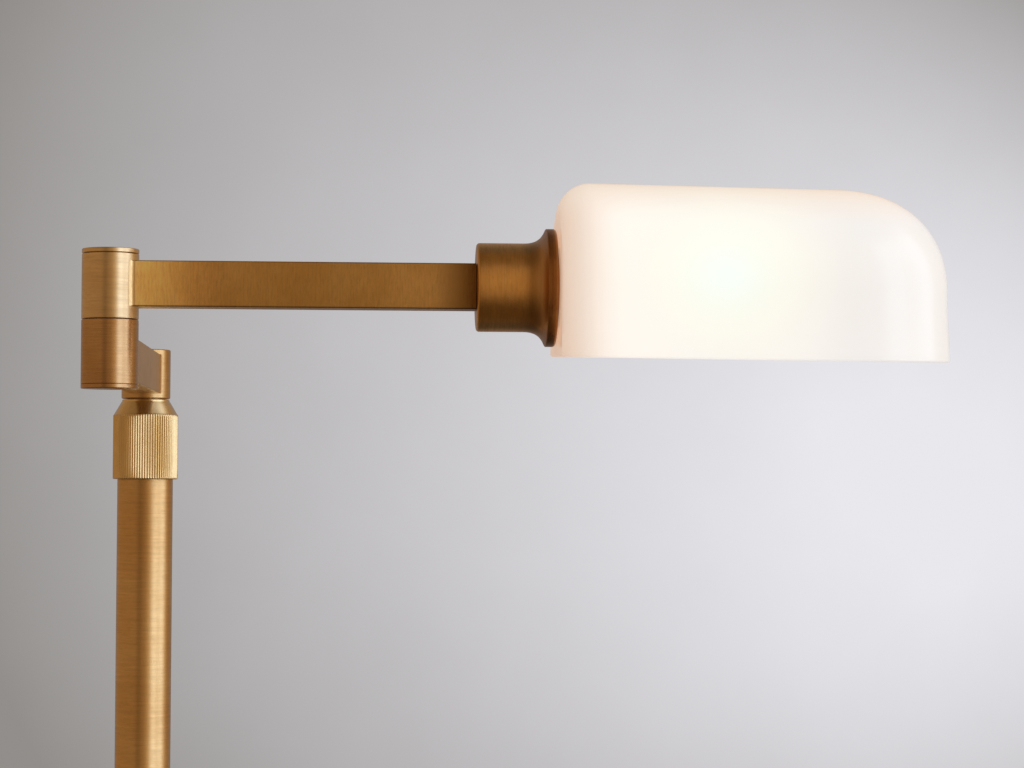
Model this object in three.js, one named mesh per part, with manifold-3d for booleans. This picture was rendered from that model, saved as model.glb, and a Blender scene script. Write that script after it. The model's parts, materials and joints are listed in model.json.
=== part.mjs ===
// Pharmacy floor lamp: weighted round base, telescopic brass stem with a reeded twist-lock collar,
// two flat arms joined by a stacked barrel elbow, and an opal glass half-cylinder shade on a bell cup.
//
// Frame: millimetres, +Z up. The origin is the centre of the base on the floor, on the stem's axis.
// Arm 1 runs from the stem along -Y to the elbow. Arm 2 runs from the elbow along +X to the shade.
import * as THREE from "three";
import { mergeVertices } from "three/addons/utils/BufferGeometryUtils.js";
import Module from "manifold-3d";

const wasm = await Module();
wasm.setup();

// ---- Driving dimensions ----
const GAP = 0.3; // clearance between pieces that touch or screw together
const ARM1_HEIGHT = 1100; // floor to the lower arm's centre line, stem fully lowered
const ARM1_LENGTH = 225; // stem axis to elbow axis
const ARM2_LENGTH = 169.8; // elbow axis to the bell cup's back
const ARM2_RISE = 32.9; // the upper arm's centre line above the lower arm's

const BASE_RADIUS = 127;
const PAD_RADIUS = 119;
const PAD_THICK = 2.5;
const WEIGHT_RADIUS = 118.5;
const WEIGHT_THICK = 16;
const COVER_THICK = 1.6;
const COVER_TOP = 23; // height of the cover's centre above the floor

const POLE_RADIUS = 15;
const POLE_WALL = 1.2;
const ROD_RADIUS = 9.5;
const ROD_WALL = 1.6;
const ROD_LENGTH = 380;

const COLLAR_RADIUS = 17.55;
const COLLAR_REEDS = 80;
const REED_DEPTH = 0.45;
const COLLAR_BOTTOM = -57.2; // heights from the lower arm's centre line
const REED_TOP = -22.1;
const CONE_BOTTOM_RADIUS = 17.05;
const CONE_TOP_RADIUS = 12.8;
const CONE_TOP = -13.9;
const CONE_LIP = 0.8;

const BARREL_RADIUS = 13.2;
const BARREL_EDGE = 0.8; // rounding of the barrels' outer edges
const STEM_BARREL_BOTTOM = -13.45;
const STEM_BARREL_TOP = 13.35;
const ELBOW_BOTTOM = -15.65;
const ELBOW_SEAM = 16.45;
const ELBOW_TOP = 49.2;
const CAP_BAND = 2.05; // visible height of the elbow's end caps
const CAP_GROOVE = 0.4;

const BAR_HEIGHT = 21.4;
const BAR_WIDTH = 16.6;
const BAR_WALL = 1.6;
const BAR_CORNER = 0.8;

const CUP_RADIUS = 20.75;
const CUP_LENGTH = 36.9;
const CUP_STRAIGHT = 22;
const CUP_WALL = 2.1;
const FLANGE_RADIUS = 27.6;
const FLANGE_RIM = 4.6;

const SHADE_START = 37.6; // back of the glass, from the cup's back
const SHADE_LENGTH = 183.5;
const SHADE_REAR_RADIUS = 49.2;
const SHADE_FRONT_RADIUS = 48.4;
const SHADE_NOSE = 54; // length of the curved front
const SHADE_NOSE_POWER = 2.3; // 2 would be an ellipse; more is squarer
const SHADE_CORNER = 15.2; // rounding of the back wall into the dome
const SHADE_SKIRT = 32.1; // straight part below the arm's axis
const SHADE_FLARE = 1.6; // how much wider the open edge is, at each side and at the nose
const SHADE_DROOP = Math.tan(THREE.MathUtils.degToRad(0.46));
const SHADE_TILT = THREE.MathUtils.degToRad(2.6); // at rest the shade is turned this much, its -Y side down
const GLASS = 3.5;
const FITTER_HOLE = 20;

const PIVOT_RADIUS = 5;
const WIREWAY_RADIUS = 2.8;

// Facets round a full circle, by the size of the piece.
const FINE = 40;
const MEDIUM = 24;
const COARSE = 12;

// ---- Materials ----
const metal = (color, roughness) => new THREE.MeshStandardMaterial({ color, roughness, metalness: 1 });
const plain = (color, roughness) => new THREE.MeshStandardMaterial({ color, roughness, metalness: 0 });
const satinBrass = metal(0xb58a4a, 0.32);
const darkBrass = metal(0x8a5f30, 0.38);
const innerBrass = metal(0xc9a35c, 0.4);
const steel = metal(0xb4b6b8, 0.4);
const iron = metal(0x3c3d40, 0.7);
const rubber = plain(0x191919, 0.9);
const nylon = plain(0xe6e2d6, 0.5);
const phenolic = plain(0x26211d, 0.45);
const opalGlass = plain(0xfbf2e2, 0.1);
const bulbGlass = plain(0xfff8ea, 0.2);
const bulbPlastic = plain(0xf4f4f0, 0.4);

// ---- Solids ----
// A three.js geometry as a manifold-3d solid, and back.
function solid(geometry) {
  const bare = geometry.clone();
  bare.deleteAttribute("normal");
  bare.deleteAttribute("uv");
  const merged = mergeVertices(bare, 1e-4);
  return new wasm.Manifold(
    new wasm.Mesh({
      numProp: 3,
      vertProperties: new Float32Array(merged.attributes.position.array),
      triVerts: new Uint32Array(merged.index.array),
    }),
  );
}

function geometryOf(made) {
  const mesh = made.getMesh();
  const geometry = new THREE.BufferGeometry();
  geometry.setAttribute("position", new THREE.BufferAttribute(new Float32Array(mesh.vertProperties), 3));
  geometry.setIndex(new THREE.BufferAttribute(new Uint32Array(mesh.triVerts), 1));
  geometry.computeVertexNormals();
  return geometry;
}

// The first geometry with the others cut away from it.
function cut(geometry, ...tools) {
  let made = solid(geometry);
  for (const tool of tools) made = made.subtract(solid(tool));
  return geometryOf(made);
}

function join(...geometries) {
  let made = solid(geometries[0]);
  for (const other of geometries.slice(1)) made = made.add(solid(other));
  return geometryOf(made);
}

// A turned solid about Z from [radius, height] points that run up the outside and down the inside.
function turned(points, facets = COARSE) {
  const profile = points.map(([radius, height]) => new THREE.Vector2(radius, height));
  const onAxis = points[0][0] === 0 && points.at(-1)[0] === 0;
  if (!onAxis) profile.push(profile[0].clone());
  return new THREE.LatheGeometry(profile, facets).rotateX(Math.PI / 2);
}

function ring(outer, inner, bottom, top, facets = COARSE) {
  return turned([[inner, bottom], [outer, bottom], [outer, top], [inner, top]], facets);
}

function disc(radius, bottom, top, facets = COARSE) {
  return turned([[0, bottom], [radius, bottom], [radius, top], [0, top]], facets);
}

// Points of an arc in a profile, from one angle to another in degrees.
function arc(centreRadius, centreHeight, radius, from, to, steps) {
  const points = [];
  for (let i = 0; i <= steps; i++) {
    const angle = THREE.MathUtils.degToRad(from + ((to - from) * i) / steps);
    points.push([centreRadius + radius * Math.cos(angle), centreHeight + radius * Math.sin(angle)]);
  }
  return points;
}

// Points of a cubic curve in a profile, through its two ends.
function curve(start, first, second, end, steps) {
  const path = new THREE.CubicBezierCurve(
    new THREE.Vector2(...start),
    new THREE.Vector2(...first),
    new THREE.Vector2(...second),
    new THREE.Vector2(...end),
  );
  return path.getPoints(steps).map((point) => [point.x, point.y]);
}

function hexNut(acrossFlats, bore, bottom, top) {
  const outline = new THREE.Shape();
  const corner = acrossFlats / Math.sqrt(3);
  for (let i = 0; i < 6; i++) {
    const angle = (i * Math.PI) / 3;
    outline[i ? "lineTo" : "moveTo"](corner * Math.cos(angle), corner * Math.sin(angle));
  }
  outline.closePath();
  outline.holes.push(new THREE.Path().absarc(0, 0, bore, 0, 2 * Math.PI, true));
  const options = { depth: top - bottom, bevelEnabled: false, curveSegments: 8 };
  return new THREE.ExtrudeGeometry(outline, options).translate(0, 0, bottom);
}

// A rectangle with rounded corners, centred on the origin.
function roundedRectangle(width, height, corner) {
  const x = width / 2;
  const y = height / 2;
  const shape = new THREE.Shape();
  shape.moveTo(x, -y + corner);
  shape.absarc(x - corner, y - corner, corner, 0, Math.PI / 2);
  shape.absarc(-x + corner, y - corner, corner, Math.PI / 2, Math.PI);
  shape.absarc(-x + corner, -y + corner, corner, Math.PI, 1.5 * Math.PI);
  shape.absarc(x - corner, -y + corner, corner, 1.5 * Math.PI, 2 * Math.PI);
  return shape;
}

// A rectangular tube along +Z, its height along X and its width along Y.
function barTube(length) {
  const outline = roundedRectangle(BAR_HEIGHT, BAR_WIDTH, BAR_CORNER);
  outline.holes.push(roundedRectangle(BAR_HEIGHT - 2 * BAR_WALL, BAR_WIDTH - 2 * BAR_WALL, BAR_CORNER / 2));
  return new THREE.ExtrudeGeometry(outline, { depth: length, bevelEnabled: false, curveSegments: 3 });
}

// ---- Scene graph ----
const lamp = new THREE.Group();
const base = new THREE.Group();
const stemHead = new THREE.Group(); // its origin is on the stem's axis, at the lower arm's centre line
const elbow = new THREE.Group(); // its origin is on the elbow's axis, at the lower arm's centre line
const head = new THREE.Group(); // its +Z is the upper arm's axis, from the bell cup's back towards the shade
const shade = new THREE.Group(); // all that turns with the shade, in the head's frame but for the rest turn
stemHead.position.z = ARM1_HEIGHT;
elbow.position.y = -ARM1_LENGTH;
head.position.set(ARM2_LENGTH, 0, ARM2_RISE);
head.rotation.y = Math.PI / 2;
shade.rotation.z = SHADE_TILT;
lamp.add(base, stemHead);
stemHead.add(elbow);
elbow.add(head);
head.add(shade);

function add(group, name, geometry, material) {
  const mesh = new THREE.Mesh(geometry, material);
  mesh.name = name;
  group.add(mesh);
  return mesh;
}

// ---- Base ----
const WEIGHT_BOTTOM = PAD_THICK + GAP;
const WEIGHT_TOP = WEIGHT_BOTTOM + WEIGHT_THICK;
const NUT_POCKET_RADIUS = 18;
const NUT_POCKET_DEPTH = 10;
const GLAND_HEIGHT = 9.5;
const GLAND_RADIUS = 5.5;
const GLAND_HOLE = 3.6;
const COVER_EDGE = 1;
const SHOULDER = 8;
const NIPPLE_HOLE = PIVOT_RADIUS + GAP;

// The round pole and everything it stands on are coaxial with Z; the cord leaves at the back, along -X.
function weightGeometry() {
  const channel = new THREE.BoxGeometry(WEIGHT_RADIUS, 10, 10);
  channel.translate(-WEIGHT_RADIUS / 2 - NUT_POCKET_RADIUS / 2, 0, WEIGHT_BOTTOM + 5);
  const glandPocket = new THREE.BoxGeometry(12, 17, 14);
  glandPocket.translate(-WEIGHT_RADIUS, 0, WEIGHT_BOTTOM + 6.8);
  return cut(
    ring(WEIGHT_RADIUS, NIPPLE_HOLE, WEIGHT_BOTTOM, WEIGHT_TOP, FINE),
    disc(NUT_POCKET_RADIUS, WEIGHT_BOTTOM - 1, WEIGHT_BOTTOM + NUT_POCKET_DEPTH, COARSE),
    channel,
    glandPocket,
  );
}

function coverGeometry() {
  const innerRadius = BASE_RADIUS - COVER_THICK;
  const flat = COVER_TOP - 2; // the top rises 2 mm from the shoulder to the stem's foot
  const shoulderHeight = flat - SHOULDER;
  const shell = turned(
    [
      [innerRadius, COVER_EDGE],
      [BASE_RADIUS, COVER_EDGE],
      ...arc(BASE_RADIUS - SHOULDER, shoulderHeight, SHOULDER, 0, 90, 4),
      [30, COVER_TOP],
      [NIPPLE_HOLE, COVER_TOP],
      [NIPPLE_HOLE, COVER_TOP - COVER_THICK],
      [30, COVER_TOP - COVER_THICK],
      ...arc(BASE_RADIUS - SHOULDER, shoulderHeight, SHOULDER - COVER_THICK, 90, 0, 3),
    ],
    FINE,
  );
  const glandBore = disc(GLAND_RADIUS + GAP, 0, 12).rotateY(-Math.PI / 2);
  return cut(shell, glandBore.translate(-BASE_RADIUS + 6, 0, GLAND_HEIGHT));
}

// A flanged bush, its bore along -X, in the cover's wall.
function glandGeometry() {
  const bush = turned([
    [GLAND_HOLE, -7],
    [GLAND_RADIUS, -7],
    [GLAND_RADIUS, 0.5],
    [GLAND_RADIUS + 1.7, 0.5],
    [GLAND_RADIUS + 1.7, 2],
    [GLAND_RADIUS + 0.7, 3],
    [GLAND_HOLE, 3],
  ]);
  return bush.rotateY(-Math.PI / 2).translate(-BASE_RADIUS, 0, GLAND_HEIGHT);
}

const FOOT_BOTTOM = COVER_TOP + GAP;
const FOOT_HEIGHT = 19;
const POLE_BOTTOM = FOOT_BOTTOM + 5;
const POLE_TOP = ARM1_HEIGHT - 34;
const POLE_BORE = POLE_RADIUS - POLE_WALL;

function footGeometry() {
  const top = FOOT_BOTTOM + FOOT_HEIGHT;
  const socket = POLE_RADIUS + GAP;
  return turned(
    [
      [NIPPLE_HOLE, FOOT_BOTTOM],
      [28, FOOT_BOTTOM],
      [28, FOOT_BOTTOM + 3],
      ...arc(28, FOOT_BOTTOM + 12, 8.5, -100, -175, 3),
      [19, top - 1],
      [18, top],
      [socket, top],
      [socket, POLE_BOTTOM - GAP],
      [NIPPLE_HOLE, POLE_BOTTOM - GAP],
    ],
    MEDIUM,
  );
}

add(base, "base_pad", disc(PAD_RADIUS, 0, PAD_THICK, FINE), rubber);
add(base, "base_weight", weightGeometry(), iron);
add(base, "base_cover", coverGeometry(), satinBrass);
add(base, "base_nut", hexNut(17, NIPPLE_HOLE, 4.5, 10.5), steel);
add(base, "base_washer", ring(15, NIPPLE_HOLE, 10.8, WEIGHT_BOTTOM + NUT_POCKET_DEPTH - GAP), steel);
add(base, "base_nipple", ring(PIVOT_RADIUS, 3.2, 3.5, 54), steel);
add(base, "cord_gland", glandGeometry(), rubber);
add(base, "stem_foot", footGeometry(), satinBrass);
add(base, "stem_plug", ring(POLE_BORE - GAP, NIPPLE_HOLE, POLE_BOTTOM + 1, 52), innerBrass);
add(base, "stem_tube", ring(POLE_RADIUS, POLE_BORE, POLE_BOTTOM, POLE_TOP, MEDIUM), satinBrass);

// ---- Top of the pole: guide bush, clamping collet and reeded collar ----
const ROD_BORE = ROD_RADIUS + GAP;
const COLLET_TOP = -23.5;

function guideBushGeometry() {
  return turned(
    [
      [ROD_BORE, -64],
      [POLE_BORE - GAP, -64],
      [POLE_BORE - GAP, -34 + GAP],
      [POLE_RADIUS - 0.5, -34 + GAP],
      [POLE_RADIUS - 0.5, -32],
      [ROD_BORE, -32],
    ],
    MEDIUM,
  );
}

// A ring with a coned top, split on one side so that the collar can squeeze it onto the rod.
function colletGeometry() {
  const slit = new THREE.BoxGeometry(10, 1.6, 20).translate(12.5, 0, -28);
  const body = turned(
    [
      [ROD_BORE, -31.7],
      [14.4, -31.7],
      [14.4, -28],
      [11.5, COLLET_TOP],
      [ROD_BORE, COLLET_TOP],
    ],
    MEDIUM,
  );
  return cut(body, slit);
}

// The collar's wall is reeded: pointed ribs all round, with a plain cone and a short lip above them.
function collarGeometry() {
  const outline = new THREE.Shape();
  const points = [];
  for (let i = 0; i < 2 * COLLAR_REEDS; i++) {
    const angle = (i * Math.PI) / COLLAR_REEDS;
    const radius = COLLAR_RADIUS - (i % 2) * REED_DEPTH;
    points.push(new THREE.Vector2(radius * Math.cos(angle), radius * Math.sin(angle)));
  }
  outline.setFromPoints(points);
  const reeds = new THREE.ExtrudeGeometry(outline, { depth: REED_TOP - COLLAR_BOTTOM, bevelEnabled: false });
  const cone = turned(
    [
      [0, REED_TOP - 1],
      [CONE_BOTTOM_RADIUS, REED_TOP - 1],
      [CONE_BOTTOM_RADIUS, REED_TOP],
      [CONE_TOP_RADIUS, CONE_TOP - CONE_LIP],
      [CONE_TOP_RADIUS, CONE_TOP],
      [0, CONE_TOP],
    ],
    MEDIUM,
  );
  const bore = turned(
    [
      [0, COLLAR_BOTTOM - 1],
      [POLE_RADIUS + GAP, COLLAR_BOTTOM - 1],
      [POLE_RADIUS + GAP, -28],
      [11.9, COLLET_TOP + 1],
      [ROD_BORE, COLLET_TOP + 1],
      [ROD_BORE, CONE_TOP + 1],
      [0, CONE_TOP + 1],
    ],
    MEDIUM,
  );
  return cut(join(reeds.translate(0, 0, COLLAR_BOTTOM), cone), bore);
}

add(stemHead, "guide_bush", guideBushGeometry(), nylon);
add(stemHead, "collet", colletGeometry(), nylon);
add(stemHead, "reeded_collar", collarGeometry(), satinBrass);

// ---- Sliding rod and the stem's swivel ----
const ROD_TOP = STEM_BARREL_BOTTOM + GAP;
const ROD_BOTTOM = ROD_TOP - ROD_LENGTH;
const SPINDLE_RADIUS = 5.9;
const SPINDLE_HOLE = SPINDLE_RADIUS + GAP;
const BARREL_WEB_BOTTOM = -11.5;
const BARREL_WEB_TOP = 3;

// The rod's foot is flared under the glide so that the glide can't drop off.
function rodGeometry() {
  const bore = ROD_RADIUS - ROD_WALL;
  return turned(
    [
      [bore, ROD_BOTTOM - 3],
      [12, ROD_BOTTOM - 3],
      [12, ROD_BOTTOM - GAP],
      [ROD_RADIUS, ROD_BOTTOM - GAP],
      [ROD_RADIUS, ROD_TOP],
      [bore, ROD_TOP],
    ],
    MEDIUM,
  );
}

function stemSpindleGeometry() {
  const plug = ROD_RADIUS - ROD_WALL - GAP;
  return turned([
    [WIREWAY_RADIUS, ROD_TOP - 22],
    [plug, ROD_TOP - 22],
    [plug, ROD_TOP],
    [SPINDLE_RADIUS, ROD_TOP],
    [SPINDLE_RADIUS, 10.5],
    [WIREWAY_RADIUS, 10.5],
  ]);
}

add(stemHead, "inner_rod", rodGeometry(), satinBrass);
add(stemHead, "rod_glide", ring(POLE_BORE - GAP, ROD_BORE, ROD_BOTTOM, ROD_BOTTOM + 18, MEDIUM), nylon);
add(stemHead, "stem_spindle", stemSpindleGeometry(), steel);
add(stemHead, "stem_thrust_washer", ring(9.4, SPINDLE_HOLE, ROD_TOP + GAP, BARREL_WEB_BOTTOM - GAP), nylon);
add(stemHead, "stem_spring_washer", ring(10, SPINDLE_HOLE, 3.3, 4.5), steel);
add(stemHead, "stem_nut", hexNut(15, SPINDLE_HOLE, 4.8, 9.8), steel);

// ---- Lower arm ----
const WIRE_HOLE = 3;

// A hole through a barrel's wall for the wires, along +X from the axis.
function wireHole(height, direction) {
  const hole = disc(WIRE_HOLE, 7, BARREL_RADIUS + 2, 12).rotateY(Math.PI / 2);
  return hole.rotateZ(direction).translate(0, 0, height);
}

// Quarter-round edge points of a barrel's outside, going up: at its bottom or at its top.
const bottomEdge = (height, size = BARREL_EDGE) =>
  arc(BARREL_RADIUS - size, height + size, size, -90, 0, 2);
const topEdge = (height, size = BARREL_EDGE) => arc(BARREL_RADIUS - size, height - size, size, 0, 90, 2);

const STEM_CAP_RADIUS = 11.2;

function stemBarrelGeometry() {
  const body = turned(
    [
      [10.2, STEM_BARREL_BOTTOM],
      ...bottomEdge(STEM_BARREL_BOTTOM),
      ...topEdge(STEM_BARREL_TOP),
      [STEM_CAP_RADIUS + GAP, STEM_BARREL_TOP],
      [STEM_CAP_RADIUS + GAP, STEM_BARREL_TOP - 2],
      [10.6, STEM_BARREL_TOP - 2],
      [10.6, BARREL_WEB_TOP],
      [SPINDLE_HOLE, BARREL_WEB_TOP],
      [SPINDLE_HOLE, BARREL_WEB_BOTTOM],
      [10.2, BARREL_WEB_BOTTOM],
    ],
    MEDIUM,
  );
  return cut(body, wireHole(7, -Math.PI / 2));
}

// The bar stops short of both barrels and is coped to their round sides.
function lowerBarGeometry() {
  const bar = barTube(ARM1_LENGTH).rotateY(Math.PI / 2).rotateZ(-Math.PI / 2);
  const cope = () => disc(BARREL_RADIUS + GAP, -20, 20, MEDIUM);
  return cut(bar, cope(), cope().translate(0, -ARM1_LENGTH, 0));
}

const FRICTION_RECESS = 10.2;
const CAP_SPIGOT = 10.4;
const POCKET = CAP_SPIGOT + GAP;
const LOWER_BODY_BOTTOM = ELBOW_BOTTOM + CAP_BAND + CAP_GROOVE;
const UPPER_BODY_TOP = ELBOW_TOP - CAP_BAND - CAP_GROOVE;
const LOWER_WEB = -3;
const UPPER_WEB = 33;
const PIVOT_HOLE = PIVOT_RADIUS + GAP;
const SEAM_EDGE = 0.3;

function lowerBarrelGeometry() {
  const top = ELBOW_SEAM - GAP / 2;
  const body = turned(
    [
      [POCKET, LOWER_BODY_BOTTOM],
      ...bottomEdge(LOWER_BODY_BOTTOM, SEAM_EDGE),
      ...topEdge(top, SEAM_EDGE),
      [FRICTION_RECESS, top],
      [FRICTION_RECESS, top - 1.7],
      [PIVOT_HOLE, top - 1.7],
      [PIVOT_HOLE, LOWER_WEB],
      [POCKET, LOWER_WEB],
    ],
    MEDIUM,
  );
  return cut(body, wireHole(-7, Math.PI / 2));
}

function upperBarrelGeometry() {
  const bottom = ELBOW_SEAM + GAP / 2;
  const body = turned(
    [
      [FRICTION_RECESS, bottom],
      ...bottomEdge(bottom, SEAM_EDGE),
      ...topEdge(UPPER_BODY_TOP, SEAM_EDGE),
      [POCKET, UPPER_BODY_TOP],
      [POCKET, UPPER_WEB],
      [PIVOT_HOLE, UPPER_WEB],
      [PIVOT_HOLE, bottom + 1.7],
      [FRICTION_RECESS, bottom + 1.7],
    ],
    MEDIUM,
  );
  return cut(body, wireHole(39, 0));
}

// An end cap: a band as wide as the barrel and a hollow spigot that pushes into the barrel's pocket.
function capGeometry() {
  return turned(
    [
      [0, 0],
      [CAP_SPIGOT - 1.5, 0],
      [CAP_SPIGOT - 1.5, -3.4],
      [CAP_SPIGOT, -3.4],
      [CAP_SPIGOT, 0],
      ...bottomEdge(0, SEAM_EDGE),
      ...topEdge(CAP_BAND, SEAM_EDGE),
      [0, CAP_BAND],
    ],
    MEDIUM,
  );
}

add(stemHead, "stem_barrel", stemBarrelGeometry(), satinBrass);
const stemCap = disc(STEM_CAP_RADIUS, STEM_BARREL_TOP - 1.7, STEM_BARREL_TOP - 0.1);
add(stemHead, "stem_barrel_cap", stemCap, satinBrass);
add(stemHead, "lower_arm_bar", lowerBarGeometry(), satinBrass);
add(elbow, "elbow_lower_barrel", lowerBarrelGeometry(), satinBrass);
const bottomCap = add(elbow, "elbow_bottom_cap", capGeometry(), satinBrass);
bottomCap.rotation.x = Math.PI;
bottomCap.position.z = ELBOW_BOTTOM + CAP_BAND;
add(elbow, "elbow_pivot", ring(PIVOT_RADIUS, WIREWAY_RADIUS, -10.5, 42), steel);
add(elbow, "elbow_bottom_nut", hexNut(14, PIVOT_HOLE, -9.2, -4.4), steel);
add(elbow, "elbow_bottom_washer", ring(9.5, PIVOT_HOLE, -4.1, LOWER_WEB - GAP), steel);
add(elbow, "elbow_friction_washer", ring(9.8, PIVOT_HOLE, ELBOW_SEAM - 1.5, ELBOW_SEAM + 1.5), nylon);
add(elbow, "elbow_spring_washer", ring(9.5, PIVOT_HOLE, UPPER_WEB + GAP, 34.5), steel);
add(elbow, "elbow_top_nut", hexNut(14, PIVOT_HOLE, 34.8, 40.3), steel);

// ---- Upper arm ----
const BAR_END = ARM2_LENGTH - GAP;
const PLUG_LENGTH = 20;

function upperBarGeometry() {
  const bar = barTube(BAR_END).rotateY(Math.PI / 2).translate(0, 0, ARM2_RISE);
  return cut(bar, disc(BARREL_RADIUS + GAP, 0, 60, MEDIUM));
}

// A block that closes the bar's end and carries the tilt pivot.
function barPlugGeometry() {
  const inset = 2 * (BAR_WALL + GAP);
  const block = roundedRectangle(BAR_HEIGHT - inset, BAR_WIDTH - inset, BAR_CORNER / 2);
  block.holes.push(new THREE.Path().absarc(0, 0, PIVOT_HOLE, 0, 2 * Math.PI, true));
  const options = { depth: PLUG_LENGTH, bevelEnabled: false, curveSegments: 6 };
  return new THREE.ExtrudeGeometry(block, options).translate(0, 0, -PLUG_LENGTH - GAP);
}

add(elbow, "elbow_upper_barrel", upperBarrelGeometry(), satinBrass);
const topCap = add(elbow, "elbow_top_cap", capGeometry(), satinBrass);
topCap.position.z = ELBOW_TOP - CAP_BAND;
add(elbow, "upper_arm_bar", upperBarGeometry(), satinBrass);
add(head, "upper_arm_plug", barPlugGeometry(), innerBrass);
add(head, "tilt_pivot", ring(PIVOT_RADIUS, WIREWAY_RADIUS, -18, 11.7), steel);
add(head, "tilt_friction_washer", ring(9, PIVOT_HOLE, 3.3, 4.1), nylon);
add(head, "tilt_spring_washer", ring(9, PIVOT_HOLE, 4.4, 5.4), steel);
add(head, "tilt_nut", hexNut(14, PIVOT_HOLE, 5.7, 10.2), steel);

// ---- Bell cup and lamp-holder, with heights along the arm's axis from the cup's back ----
const CUP_BORE = CUP_RADIUS - CUP_WALL;
const HOLDER_BACK = 14.5;
const HOLDER_FRONT = 50.5;
const HOLDER_RADIUS = 18.2;
const HOLDER_BORE = 15.2;
const SCREW_OFFSET = 12.4;

function cupGeometry() {
  const rimBack = CUP_LENGTH - FLANGE_RIM;
  const flare = curve(
    [CUP_RADIUS, CUP_STRAIGHT],
    [CUP_RADIUS, CUP_STRAIGHT + 6],
    [CUP_RADIUS + 2.4, rimBack - 1.9],
    [FLANGE_RADIUS - 0.6, rimBack - 0.3],
    5,
  );
  const bell = turned(
    [
      [PIVOT_HOLE, 0],
      ...arc(CUP_RADIUS - 1.4, 1.4, 1.4, -90, 0, 3),
      ...flare,
      [FLANGE_RADIUS, rimBack + 0.4],
      ...arc(FLANGE_RADIUS - 1.2, CUP_LENGTH - 1.2, 1.2, 0, 90, 2),
      [CUP_BORE, CUP_LENGTH],
      [CUP_BORE, 3],
      [PIVOT_HOLE, 3],
    ],
    MEDIUM,
  );
  const screwHole = (side) => disc(1.6, -1, 4, 8).translate(0, side * SCREW_OFFSET, 0);
  return cut(bell, screwHole(1), screwHole(-1));
}

function holderGeometry() {
  const body = turned([
    [0, HOLDER_BACK],
    [16, HOLDER_BACK],
    [HOLDER_RADIUS, HOLDER_BACK + 7],
    [HOLDER_RADIUS, HOLDER_FRONT],
    [HOLDER_BORE, HOLDER_FRONT],
    [HOLDER_BORE, HOLDER_BACK + 10],
    [0, HOLDER_BACK + 10],
  ]);
  const screwHole = (side) => disc(1.8, 10, 30, 8).translate(0, side * SCREW_OFFSET, 0);
  return cut(body, screwHole(1), screwHole(-1));
}

// A pan-head screw from inside the holder, through a spacer, into the cup's back.
function socketScrewGeometry() {
  return turned(
    [
      [0, 0.4],
      [1.3, 0.4],
      [1.3, HOLDER_BACK + 10 + GAP],
      [2.5, HOLDER_BACK + 10 + GAP],
      [2.5, HOLDER_BACK + 12],
      [0, HOLDER_BACK + 12],
    ],
    12,
  );
}

add(shade, "socket_cup", cupGeometry(), darkBrass);
add(shade, "lamp_holder", holderGeometry(), phenolic);
for (const [label, side] of [["left", 1], ["right", -1]]) {
  const spacer = add(shade, "holder_spacer_" + label, ring(3, 1.8, 3.3, HOLDER_BACK - GAP, 12), steel);
  const screw = add(shade, "holder_screw_" + label, socketScrewGeometry(), steel);
  spacer.position.y = side * SCREW_OFFSET;
  screw.position.y = side * SCREW_OFFSET;
}
add(shade, "screw_shell", ring(14.1, 13.4, HOLDER_BACK + 13, HOLDER_FRONT - 3), innerBrass);
add(shade, "centre_contact", disc(3.5, HOLDER_BACK + 10.3, HOLDER_BACK + 11.5, 12), innerBrass);

// ---- Bulb ----
const BULB_CAP_BACK = 29;
const BULB_NECK = 50;
const GLOBE_BACK = 92;
const GLOBE_RADIUS = 29.5;
const GLOBE_CENTRE = GLOBE_BACK + 12;
const GLOBE_WALL = 1.5;

// The cap has three rounded threads, drawn as rings.
function bulbCapGeometry() {
  const points = [[0, BULB_CAP_BACK], [8, BULB_CAP_BACK], [12, BULB_CAP_BACK + 4]];
  for (let turn = 0; turn < 3; turn++) {
    const height = BULB_CAP_BACK + 4 + turn * 4;
    points.push([13, height + 2], [12, height + 4]);
  }
  points.push([13, BULB_NECK - GAP], [0, BULB_NECK - GAP]);
  return turned(points);
}

// The housing holds the driver board; it is modelled as a shell with a floor, open towards the globe.
function bulbHousingGeometry() {
  return turned(
    [
      [0, BULB_NECK],
      [13.2, BULB_NECK],
      [15, BULB_NECK + 8],
      [22, BULB_NECK + 24],
      [28.6, GLOBE_BACK - 4],
      [28.6, GLOBE_BACK - GAP],
      [26.6, GLOBE_BACK - GAP],
      [20, BULB_NECK + 24],
      [12, BULB_NECK + 5],
      [0, BULB_NECK + 5],
    ],
    MEDIUM,
  );
}

// A thin round diffuser, open at the back where it meets the housing.
function globeGeometry() {
  const outsideStart = THREE.MathUtils.radToDeg(Math.asin((GLOBE_BACK - GLOBE_CENTRE) / GLOBE_RADIUS));
  const inner = GLOBE_RADIUS - GLOBE_WALL;
  const insideStart = THREE.MathUtils.radToDeg(Math.asin((GLOBE_BACK - GLOBE_CENTRE) / inner));
  const outside = arc(0, GLOBE_CENTRE, GLOBE_RADIUS, outsideStart, 90, 7).slice(0, -1);
  const inside = arc(0, GLOBE_CENTRE, inner, insideStart, 90, 6).slice(0, -1);
  const nose = [[0, GLOBE_CENTRE + GLOBE_RADIUS], [0, GLOBE_CENTRE + inner]];
  return turned([...outside, ...nose, ...inside.reverse()], MEDIUM);
}

add(shade, "bulb_contact", disc(4, BULB_CAP_BACK - 1.7, BULB_CAP_BACK - GAP, 12), innerBrass);
add(shade, "bulb_cap", bulbCapGeometry(), steel);
add(shade, "bulb_housing", bulbHousingGeometry(), bulbPlastic);
add(shade, "bulb_globe", globeGeometry(), bulbGlass);

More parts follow.
